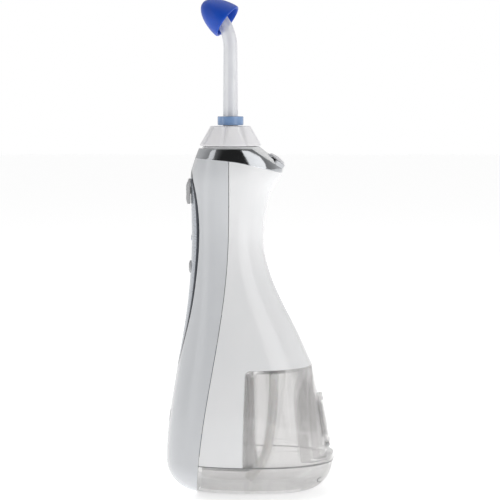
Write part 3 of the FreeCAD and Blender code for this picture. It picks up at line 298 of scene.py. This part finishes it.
# The finish that a CAD node gets by its record slot, and the nodes that differ from their slot.
SLOT_FINISHES = (GLOSS_ABS, DIAL_ABS, PLATED, SILVER, KEY_ABS, CLEAR_SAN, CLEAR_TUBE, COLLAR, SILICONE, HOSE,
                 NITRILE, LENS, MASK, BLACK, SLEEVE, STEEL, BRASS, ACETAL, NYLON)
NODE_FINISHES = {"front_shell": FRONT_ABS, "eject_button": PALE_KEY_ABS}


class FinishBook:
    """Makes each finish once and puts it on pieces."""

    def __init__(self) -> None:
        """Start with no materials made."""
        self.made: dict[str, bpy.types.Material] = {}

    def material(self, finish: Finish) -> bpy.types.Material:
        """Return the finish's material, made on first use.

        Args:
            finish: the finish.

        Returns:
            The material.
        """
        if finish.name not in self.made:
            self.made[finish.name] = finish.make()
        return self.made[finish.name]

    def dress(self, piece: bpy.types.Object, finish: Finish) -> bpy.types.Object:
        """Put one finish all over a piece.

        Args:
            piece: the piece.
            finish: its finish.

        Returns:
            The same piece.
        """
        material = self.material(finish)
        if piece.material_slots:
            for place in piece.material_slots:
                place.material = material
        else:
            piece.data.materials.append(material)
        return piece

    def dress_frame(self, frame: Mapping[str, Mapping]) -> None:
        """Put every CAD node's own finish on it, by its name or its record slot.

        Args:
            frame: the loaded CAD frame.
        """
        by_slot = {finish.slot: finish for finish in SLOT_FINISHES}
        for row in frame["record"]["subparts"]:
            finish = NODE_FINISHES.get(row["node"], by_slot[row["material_slot"]])
            self.dress(frame["nodes"][row["node"]], finish)


# Mesh helpers


def linked(bm: bmesh.types.BMesh, name: str) -> bpy.types.Object:
    """Turn a bmesh to a linked object at the origin as it is.

    Args:
        bm: the mesh; it is freed.
        name: the object's name.

    Returns:
        The new object.
    """
    mesh = bpy.data.meshes.new(name)
    bm.to_mesh(mesh)
    bm.free()
    piece = bpy.data.objects.new(name, mesh)
    bpy.context.scene.collection.objects.link(piece)
    return piece


def finish_mesh(bm: bmesh.types.BMesh, name: str) -> bpy.types.Object:
    """Turn a bmesh to a linked object at the origin, with its doubles merged and its faces outwards.

    Args:
        bm: the mesh; it is freed.
        name: the piece's name.

    Returns:
        The new object.
    """
    bmesh.ops.remove_doubles(bm, verts=bm.verts, dist=1e-6)
    bmesh.ops.recalc_face_normals(bm, faces=bm.faces)
    for face in bm.faces:
        face.smooth = True
    return linked(bm, name)


def subdivide(piece: bpy.types.Object, levels: int) -> bpy.types.Object:
    """Give a piece a subdivision surface, the same in view and render.

    Args:
        piece: the piece.
        levels: how many times its faces are split.

    Returns:
        The same piece.
    """
    modifier = piece.modifiers.new("Smooth", "SUBSURF")
    modifier.levels = levels
    modifier.render_levels = levels
    return piece


def spun(profile: Sequence[tuple[float, float]], steps: int) -> bmesh.types.BMesh:
    """Spin a closed profile of radius and height in millimetres round the Z axis.

    Args:
        profile: the points in order; the last joins the first.
        steps: how many steps make the full turn.

    Returns:
        The spun mesh.
    """
    bm = bmesh.new()
    corners = [bm.verts.new((r * MM, 0.0, z * MM)) for r, z in profile]
    edges = [bm.edges.new(pair) for pair in zip(corners, corners[1:] + corners[:1])]
    bmesh.ops.spin(bm, geom=corners + edges, cent=(0, 0, 0), axis=(0, 0, 1), dvec=(0, 0, 0),
                   angle=2 * math.pi, steps=steps, use_merge=True, use_duplicate=False)
    return bm


def merged_copy(node: str, name: str) -> bpy.types.Object:
    """Copy a CAD node with its loose triangles merged, so that its edges can be worked on.

    Args:
        node: the CAD node.
        name: the copy's name.

    Returns:
        The copy, linked, at the origin, with no materials.
    """
    source = bpy.data.objects[node]
    bm = bmesh.new()
    bm.from_mesh(source.data)
    bmesh.ops.remove_doubles(bm, verts=bm.verts, dist=WELD_DISTANCE)
    return linked(bm, name)


def soften_edges(piece: bpy.types.Object, width_mm: float) -> bpy.types.Object:
    """Round a piece's sharp edges, as a mould does.

    Args:
        piece: the piece.
        width_mm: the width of the round.

    Returns:
        The same piece.
    """
    modifier = piece.modifiers.new("Edges", "BEVEL")
    modifier.width = width_mm * MM
    modifier.segments = 3
    modifier.limit_method = "ANGLE"
    modifier.angle_limit = math.radians(SHARP_ANGLE)
    modifier.harden_normals = True
    for face in piece.data.polygons:
        face.use_smooth = True
    return piece


def bead_from_cut(node: str, name: str, height_mm: float, radius_mm: float) -> bpy.types.Object:
    """Make a thin bead where a level plane cuts a CAD node's walls.

    Args:
        node: the CAD node.
        name: the bead's name.
        height_mm: the plane's height.
        radius_mm: the bead's radius.

    Returns:
        The bead, as a mesh.
    """
    piece = merged_copy(node, name)
    bm = bmesh.new()
    bm.from_mesh(piece.data)
    level = Vector((0, 0, height_mm * MM))
    bmesh.ops.bisect_plane(bm, geom=bm.verts[:] + bm.edges[:] + bm.faces[:], dist=1e-7, plane_co=level,
                           plane_no=(0, 0, 1), clear_inner=True, clear_outer=True)
    bmesh.ops.delete(bm, geom=bm.faces[:], context="FACES_ONLY")
    bmesh.ops.remove_doubles(bm, verts=bm.verts, dist=CUT_DISTANCE)
    bm.to_mesh(piece.data)
    bm.free()
    for other in bpy.context.view_layer.objects:
        other.select_set(other == piece)
    bpy.context.view_layer.objects.active = piece
    bpy.ops.object.convert(target="CURVE")
    piece.data.bevel_depth = radius_mm * MM
    piece.data.bevel_resolution = 2
    bpy.ops.object.convert(target="MESH")
    for face in piece.data.polygons:
        face.use_smooth = True
    return piece


# Sub-assemblies


@dataclass
class Case:
    """The chrome band and panel trim with their rounded edges. Sizes are millimetres."""

    book: FinishBook
    edge: float = 0.35

    def build(self) -> None:
        """Round the plated parts' edges, so that they catch the light."""
        # The trim's dark plating is a painted dark reflection.
        plated = (("chrome_band", "plated_band", PLATED), ("panel_trim", "plated_trim", DARK_REFLECTION_PLATE))
        for node, name, finish in plated:
            piece = soften_edges(merged_copy(node, name), self.edge)
            self.book.dress(piece, finish)
            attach(piece, "handset")
            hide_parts(node)
            LOG.info("built %s", piece.name)


@dataclass
class Keys:
    """The slider's ribs, the mode key's ring and the eject key's rim. Sizes are millimetres and degrees."""

    book: FinishBook
    rib_count: int = 5
    rib_pitch: float = 1.7
    rib_wide: float = 7.2
    rib_tall: float = 0.75
    rib_proud: float = 0.3
    rib_shift: float = -0.6
    rib_sunk: float = 0.15
    rib_round: float = 0.14
    ring_radius: float = 2.3
    ring_wire: float = 0.22
    ring_sunk: float = 0.12
    ring_sides: int = 12
    ring_steps: int = 48
    eject_place: tuple[float, float, float] = (15.2, 0.0, 195.4)
    eject_angle: float = 37.0
    bezel_half: float = 6.1
    bezel_wide: float = 7.1
    bezel_low: float = -3.2
    bezel_top: float = 0.85
    bezel_wall: float = 0.85
    bezel_floor: float = 0.1
    bezel_corner: float = 5.3
    bezel_round: float = 0.2

    def ribs(self) -> bpy.types.Object:
        """Build the slider's grip ribs on its front face.

        Returns:
            The ribs, as one piece.
        """
        low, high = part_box("power_switch")
        bm = bmesh.new()
        middle = (low.z + high.z) / 2 / MM + self.rib_shift
        for number in range(self.rib_count):
            level = middle + (number - (self.rib_count - 1) / 2) * self.rib_pitch
            made = bmesh.ops.create_cube(bm, size=1.0)
            place = Matrix.Translation(Vector((low.x / MM + self.rib_sunk, 0, level)) * MM)
            sides = Matrix.Diagonal(Vector((2 * self.rib_proud, self.rib_wide, self.rib_tall, 1000)) * MM)
            bmesh.ops.transform(bm, matrix=place @ sides, verts=made["verts"])
        bmesh.ops.bevel(bm, geom=bm.edges[:], offset=self.rib_round * MM, affect="EDGES", segments=2,
                        profile=0.5, material=-1)
        piece = finish_mesh(bm, "slider_ribs")
        self.book.dress(piece, KEY_ABS)
        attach(piece, "switch_key")
        return piece

    def ring(self) -> bpy.types.Object:
        """Build the raised ring on the mode key's face.

        Returns:
            The ring.
        """
        low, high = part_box("mode_button")
        middle = (low + high) / 2
        bm = bmesh.new()
        made = bmesh.ops.create_circle(bm, segments=self.ring_sides, radius=self.ring_wire * MM,
                                       cap_ends=False)
        upright = Matrix.Rotation(math.pi / 2, 3, "X")
        bmesh.ops.rotate(bm, verts=made["verts"], cent=(0, 0, 0), matrix=upright)
        bmesh.ops.translate(bm, verts=made["verts"], vec=(self.ring_radius * MM, 0, 0))
        bmesh.ops.spin(bm, geom=bm.verts[:] + bm.edges[:], cent=(0, 0, 0), axis=(0, 0, 1), dvec=(0, 0, 0),
                       angle=2 * math.pi, steps=self.ring_steps, use_merge=True, use_duplicate=False)
        place = Matrix.Translation((low.x + self.ring_sunk * MM, middle.y, middle.z))
        forwards = Matrix.Rotation(math.pi / 2, 4, "Y")
        bmesh.ops.transform(bm, matrix=place @ forwards, verts=bm.verts)
        piece = finish_mesh(bm, "mode_key_ring")
        self.book.dress(piece, KEY_ABS)
        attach(piece, "mode_key")
        return piece

    def bezel(self) -> bpy.types.Object:
        """Build the low rim that stands round the eject key on the cap.

        Returns:
            The rim.
        """
        bm = bmesh.new()
        made = bmesh.ops.create_cube(bm, size=2.0)
        tall = (self.bezel_top - self.bezel_low) / 2
        sides = Matrix.Diagonal(Vector((self.bezel_half, self.bezel_wide, tall, 1000)) * MM)
        lift = Matrix.Translation((0, 0, (self.bezel_top + self.bezel_low) / 2 * MM))
        bmesh.ops.transform(bm, matrix=lift @ sides, verts=made["verts"])
        upright = [e for e in bm.edges if abs(e.verts[0].co.z - e.verts[1].co.z) > 0.1 * MM]
        bmesh.ops.bevel(bm, geom=upright, offset=self.bezel_corner * MM, affect="EDGES", segments=10,
                        profile=0.5, material=-1)
        top = [f for f in bm.faces if f.normal.z > 0.9]
        bmesh.ops.inset_region(bm, faces=top, thickness=self.bezel_wall * MM)
        floor = bmesh.ops.extrude_face_region(bm, geom=top)
        moved = [v for v in floor["geom"] if isinstance(v, bmesh.types.BMVert)]
        bmesh.ops.translate(bm, verts=moved, vec=(0, 0, -(2 * tall - self.bezel_floor) * MM))
        bmesh.ops.delete(bm, geom=top, context="FACES")
        place = Matrix.Translation(Vector(self.eject_place) * MM)
        turn = Matrix.Rotation(math.radians(self.eject_angle), 4, "Y")
        bmesh.ops.transform(bm, matrix=place @ turn, verts=bm.verts)
        piece = soften_edges(finish_mesh(bm, "eject_bezel"), self.bezel_round)
        self.book.dress(piece, PLATED)
        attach(piece, "handset")
        return piece

    def build(self) -> None:
        """Build the keys' own pieces."""
        for piece in (self.ribs(), self.ring(), self.bezel()):
            LOG.info("built %s", piece.name)


@dataclass
class Tank:
    """The clear tank's painted shade line at its tray's top and the small moulded mark on its tray. Sizes are
    millimetres.
    """

    book: FinishBook
    deck: float = 19.1
    bead: float = 0.22
    mark_x: float = 41.0
    mark_z: float = 9.2
    mark_radius: float = 1.6
    mark_wire: float = 0.25
    mark_open: float = 70.0
    mark_steps: int = 24
    ray_start: float = -100.0

    def painted_shade_line(self) -> bpy.types.Object:
        """Build the darker line, a painted shade, where the upper tank meets the tray.

        Returns:
            The painted shade line.
        """
        piece = bead_from_cut("water_tank", "tank_painted_shade_line", self.deck, self.bead)
        self.book.dress(piece, DENSE_SAN_AND_SHADE)
        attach(piece, "tank")
        return piece

    def mark(self) -> bpy.types.Object:
        """Build the small C-shaped mark moulded on the tray's side.

        Returns:
            The mark.
        """
        source = bmesh.new()
        source.from_mesh(bpy.data.objects["water_tank"].data)
        tree = BVHTree.FromBMesh(source)
        source.free()
        curve = bpy.data.curves.new("tray_mark", "CURVE")
        curve.dimensions = "3D"
        curve.bevel_depth = self.mark_wire * MM
        curve.bevel_resolution = 3
        curve.use_fill_caps = True
        line = curve.splines.new("POLY")
        line.points.add(self.mark_steps)
        for number, point in enumerate(line.points):
            angle = math.radians(self.mark_open + (360 - 2 * self.mark_open) * number / self.mark_steps)
            across = self.mark_x + self.mark_radius * math.cos(angle)
            height = self.mark_z + self.mark_radius * math.sin(angle)
            start = Vector((across, self.ray_start, height)) * MM
            place = tree.ray_cast(start, Vector((0.0, 1.0, 0.0)))[0]
            point.co = (*place, 1.0)
        piece = bpy.data.objects.new("tray_mark", curve)
        bpy.context.scene.collection.objects.link(piece)
        # The mark takes the same denser smoky finish as the painted shade line.
        self.book.dress(piece, DENSE_SAN_AND_SHADE)
        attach(piece, "tank")
        return piece

    def build(self) -> None:
        """Build the tank's own pieces."""
        for piece in (self.painted_shade_line(), self.mark()):
            LOG.info("built %s", piece.name)


@dataclass
class Dial:
    """The white turning dial with narrow flutes that fade towards its foot. Sizes are millimetres."""

    book: FinishBook
    x: float = -11.4
    turn: float = -36.5
    low: float = 204.1
    top: float = 215.6
    foot_radius: float = 17.9
    top_radius: float = 12.1
    bore_radius: float = 6.02
    wall: float = 2.0
    flutes: int = 8
    flute_depth: float = 2.3
    flute_half_top: float = 0.21
    flute_half_foot: float = 0.05
    flute_fade: float = 0.7
    steps: int = 192
    bevel: float = 0.25
    shoulder: float = 0.7
    crest_band: float = 0.8
    skin_band: float = 1.0
    slope_parts: tuple[float, ...] = (0.0, 0.12, 0.25, 0.4, 0.55, 0.7, 0.82, 0.92, 1.0)

    def build(self) -> None:
        """Spin the dial's wall and press the flutes into it."""
        low, top, foot, crown = self.low, self.top, self.foot_radius, self.top_radius
        slope = [(foot + (crown - foot) * part, low + self.shoulder + (top - low - 2 * self.shoulder) * part)
                 for part in self.slope_parts]
        inside = [(self.bore_radius, top - self.wall), (crown - self.wall - 0.2, top - self.wall),
                  (foot - self.wall - 0.6, low)]
        rim = [(foot - self.bevel, low), (foot, low + self.bevel)]
        crest = [(crown - 0.15, top - self.bevel), (crown - 0.6, top), (self.bore_radius, top)]
        bm = spun([*inside, *rim, *slope, *crest], self.steps)
        span = 2 * math.pi / self.flutes
        for vertex in bm.verts:
            radius = math.hypot(vertex.co.x, vertex.co.y) / MM
            height = max(0.0, (vertex.co.z / MM - low) / (top - low))
            slope_radius = foot + (crown - foot) * height
            if radius <= max(crown - self.crest_band, slope_radius - self.skin_band):
                continue
            bearing = math.atan2(vertex.co.y, vertex.co.x) - math.radians(self.turn)
            off = abs((bearing + span) % span - span / 2)
            half = self.flute_half_foot + (self.flute_half_top - self.flute_half_foot) * height
            if off < half:
                depth = self.flute_depth * height ** self.flute_fade
                press = depth * (0.5 + 0.5 * math.cos(math.pi * off / half))
                vertex.co.xy *= 1 - press / radius
        bmesh.ops.translate(bm, verts=bm.verts, vec=(self.x * MM, 0, 0))
        piece = finish_mesh(bm, "fluted_dial")
        self.book.dress(piece, DIAL_ABS)
        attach(piece, "dial")
        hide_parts("nozzle_dial")
        LOG.info("built %s", piece.name)


@dataclass
class Head:
    """The soft nose cone on the bent tube's end. Sizes are millimetres and degrees."""

    book: FinishBook
    x: float = -11.4
    turn: float = -13.0
    bend_low: float = 261.0
    bend_radius: float = 27.5
    bend_angle: float = 54.0
    cone_length: float = 18.8
    cone_radius: float = 10.65
    cone_wall: float = 1.5
    cone_back: float = 12.0
    tube_radius: float = 4.0
    sleeve_radius: float = 5.4
    outlet_radius: float = 1.05
    steps: int = 48
    smooth_levels: int = 2
    outer: tuple[tuple[float, float], ...] = (
        (1.0, 0.03), (0.995, 0.12), (0.935, 0.3), (0.855, 0.45), (0.75, 0.6), (0.61, 0.75), (0.45, 0.86),
        (0.3, 0.935), (0.19, 0.972),
    )
    inner: tuple[tuple[float, float], ...] = ((1.0, 0.05), (0.93, 0.3), (0.75, 0.6), (0.56, 0.8))

    def cone_place(self) -> Matrix:
        """Return the matrix that puts a cone made on the Z axis on the tube's end.

        Returns:
            The matrix, in metres.
        """
        angle = math.radians(self.bend_angle)
        turn = Matrix.Rotation(math.radians(self.turn), 4, "Z")
        along = turn @ Vector((-math.sin(angle), 0, math.cos(angle)))
        reach = Vector((-self.bend_radius * (1 - math.cos(angle)), 0, self.bend_radius * math.sin(angle)))
        end = Vector((self.x, 0, self.bend_low)) + turn @ reach
        foot = (end - along * self.cone_back) * MM
        return Matrix.Translation(foot) @ along.to_track_quat("Z", "Y").to_matrix().to_4x4()

    def nose_cone(self) -> bpy.types.Object:
        """Build the hollow silicone bell with its rolled rim, inner sleeve and outlet.

        Returns:
            The nose cone.
        """
        radius, length, wall = self.cone_radius, self.cone_length, self.cone_wall
        profile = [(self.outlet_radius, length * 0.985)]
        profile += [(radius * r, length * z) for r, z in reversed(self.outer)]
        profile += [(radius - 0.35, 0.02), (radius - wall + 0.3, 0.02)]
        profile += [((radius - wall) * r, (length - wall - 0.8) * z) for r, z in self.inner]
        back = self.cone_back - 2.0
        profile += [(self.sleeve_radius + 0.3, back + 1.6), (self.sleeve_radius, back + 0.3),
                    (self.sleeve_radius - 0.3, back), (self.tube_radius, back),
                    (self.tube_radius, back + 4.4), (self.outlet_radius, back + 4.5)]
        bm = spun(profile, self.steps)
        bmesh.ops.transform(bm, matrix=self.cone_place(), verts=bm.verts)
        piece = subdivide(finish_mesh(bm, "nose_cone_bell"), self.smooth_levels)
        self.book.dress(piece, SILICONE)
        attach(piece, "tip")
        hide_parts("nose_cone")
        return piece

    def build(self) -> None:
        """Build the head's own piece."""
        LOG.info("built %s", self.nose_cone().name)


@dataclass
class Hose:
    """The milky suction hose that hangs in the tank. Sizes are millimetres."""

    book: FinishBook
    radius: float = 2.8
    length: float = 70.5
    route: tuple[tuple[float, float, float], ...] = (
        (14.2, 0.0, 73.0), (14.2, 0.0, 58.5), (13.2, 0.3, 44.0), (11.6, 0.2, 29.5), (8.6, 0.0, 16.2),
        (-1.2, -0.4, 6.0),
    )

    def build(self) -> None:
        """Build the hose as one smooth curve along its route."""
        curve = bpy.data.curves.new("tank_hose", "CURVE")
        curve.dimensions = "3D"
        curve.bevel_depth = self.radius * MM
        curve.bevel_resolution = 6
        curve.use_fill_caps = True
        line = curve.splines.new("NURBS")
        line.points.add(len(self.route) - 1)
        for point, place in zip(line.points, self.route):
            point.co = (*(Vector(place) * MM), 1.0)
        line.order_u = 3
        line.use_endpoint_u = True
        line.resolution_u = 12
        piece = bpy.data.objects.new("tank_hose", curve)
        bpy.context.scene.collection.objects.link(piece)
        self.book.dress(piece, HOSE)
        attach(piece, "handset")
        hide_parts("suction_hose")
        LOG.info("built %s", piece.name)


@dataclass
class Studio:
    """The pale floor, soft lights and camera. Sizes are metres."""

    distance: float = 1.0
    eye: float = 0.232
    aim: float = 0.1427
    lens_mm: float = 122.6
    sensor_mm: float = 36.0
    nearest: float = 0.05
    lamp_aim: float = 0.14
    floor_half: float = 6.0
    floor_glow: float = 0.58
    dim_range: tuple[float, float] = (-0.8, 0.4)
    dim_levels: tuple[float, float] = (0.03, 0.66)

    def camera(self) -> None:
        """Place the camera level with the upper body, looking slightly down."""
        data = bpy.data.cameras.new("Camera")
        data.lens = self.lens_mm
        data.sensor_width = self.sensor_mm
        data.clip_start = self.nearest
        camera = bpy.data.objects.new("Camera", data)
        camera.location = (0.0, -self.distance, self.eye)
        camera.rotation_mode = "QUATERNION"
        look = Vector((0.0, 0.0, self.aim)) - camera.location
        camera.rotation_quaternion = look.to_track_quat("-Z", "Y")
        bpy.context.scene.collection.objects.link(camera)
        bpy.context.scene.camera = camera

    def lamp(self, name: str, place: tuple[float, float, float], side: float, tall: float, watts: float,
             mirrored: bool = True) -> None:
        """Add one soft box that faces the middle of the body.

        Args:
            name: the lamp's name.
            place: where it stands.
            side: its width.
            tall: its height.
            watts: its power.
            mirrored: whether shiny surfaces show it.
        """
        data = bpy.data.lights.new(name, "AREA")
        data.shape = "RECTANGLE"
        data.size, data.size_y, data.energy = side, tall, watts
        lamp = bpy.data.objects.new(name, data)
        lamp.location = place
        lamp.visible_glossy = mirrored
        lamp.rotation_mode = "QUATERNION"
        look = Vector((0.0, 0.0, self.lamp_aim)) - Vector(place)
        lamp.rotation_quaternion = look.to_track_quat("-Z", "Y")
        bpy.context.scene.collection.objects.link(lamp)

    def floor(self) -> None:
        """Lay the plain pale floor."""
        bm = bmesh.new()
        bmesh.ops.create_grid(bm, x_segments=1, y_segments=1, size=self.floor_half)
        piece = finish_mesh(bm, "studio_floor")
        material = bpy.data.materials.new("floor_paper")
        material.use_nodes = True
        paper = material.node_tree.nodes["Principled BSDF"]
        paper.inputs["Base Color"].default_value = linear("#F6F6F6")
        paper.inputs["Roughness"].default_value = 0.9
        paper.inputs["Specular IOR Level"].default_value = 0.1
        paper.inputs["Emission Color"].default_value = (1.0, 1.0, 1.0, 1.0)
        paper.inputs["Emission Strength"].default_value = self.floor_glow
        piece.data.materials.append(material)

    def world(self) -> None:
        """Surround the set with white that dims behind the camera, as a dark studio does."""
        world = bpy.data.worlds.new("Studio")
        bpy.context.scene.world = world
        world.use_nodes = True
        tree = world.node_tree
        tree.nodes.clear()
        way = add(tree, "ShaderNodeTexCoord").outputs["Generated"]
        part = add(tree, "ShaderNodeSeparateXYZ", {"Vector": way})
        depth = remap(tree, part.outputs["Y"], self.dim_range, self.dim_levels)
        seen = add(tree, "ShaderNodeLightPath").outputs["Is Camera Ray"]
        level = add(tree, "ShaderNodeMath", {0: depth, 1: seen}, operation="MAXIMUM")
        back = add(tree, "ShaderNodeBackground", {"Color": (1, 1, 1, 1), "Strength": level.outputs["Value"]})
        add(tree, "ShaderNodeOutputWorld", {"Surface": back.outputs["Background"]})

    def build(self) -> None:
        """Set up the whole studio."""
        self.camera()
        self.floor()
        self.world()
        self.lamp("key_box", (1.0, -0.9, 0.5), 0.85, 1.2, 4.6)
        self.lamp("side_box", (-1.3, -0.5, 0.5), 0.5, 1.2, 1.5)
        self.lamp("fill_box", (0.2, -1.5, 0.0), 0.6, 0.6, 2.1, mirrored=False)
        self.lamp("top_box", (0.0, 0.1, 1.4), 1.4, 1.4, 4.0)
        bpy.context.scene.view_settings.view_transform = "Standard"


def main() -> None:
    """Load the frame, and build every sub-assembly."""
    logging.basicConfig(level=logging.INFO, format="%(name)s: %(message)s")
    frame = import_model()
    book = FinishBook()
    book.dress_frame(frame)
    for part in (Case(book), Keys(book), Tank(book), Dial(book), Head(book), Hose(book), Studio()):
        part.build()


if __name__ == "__main__":
    main()
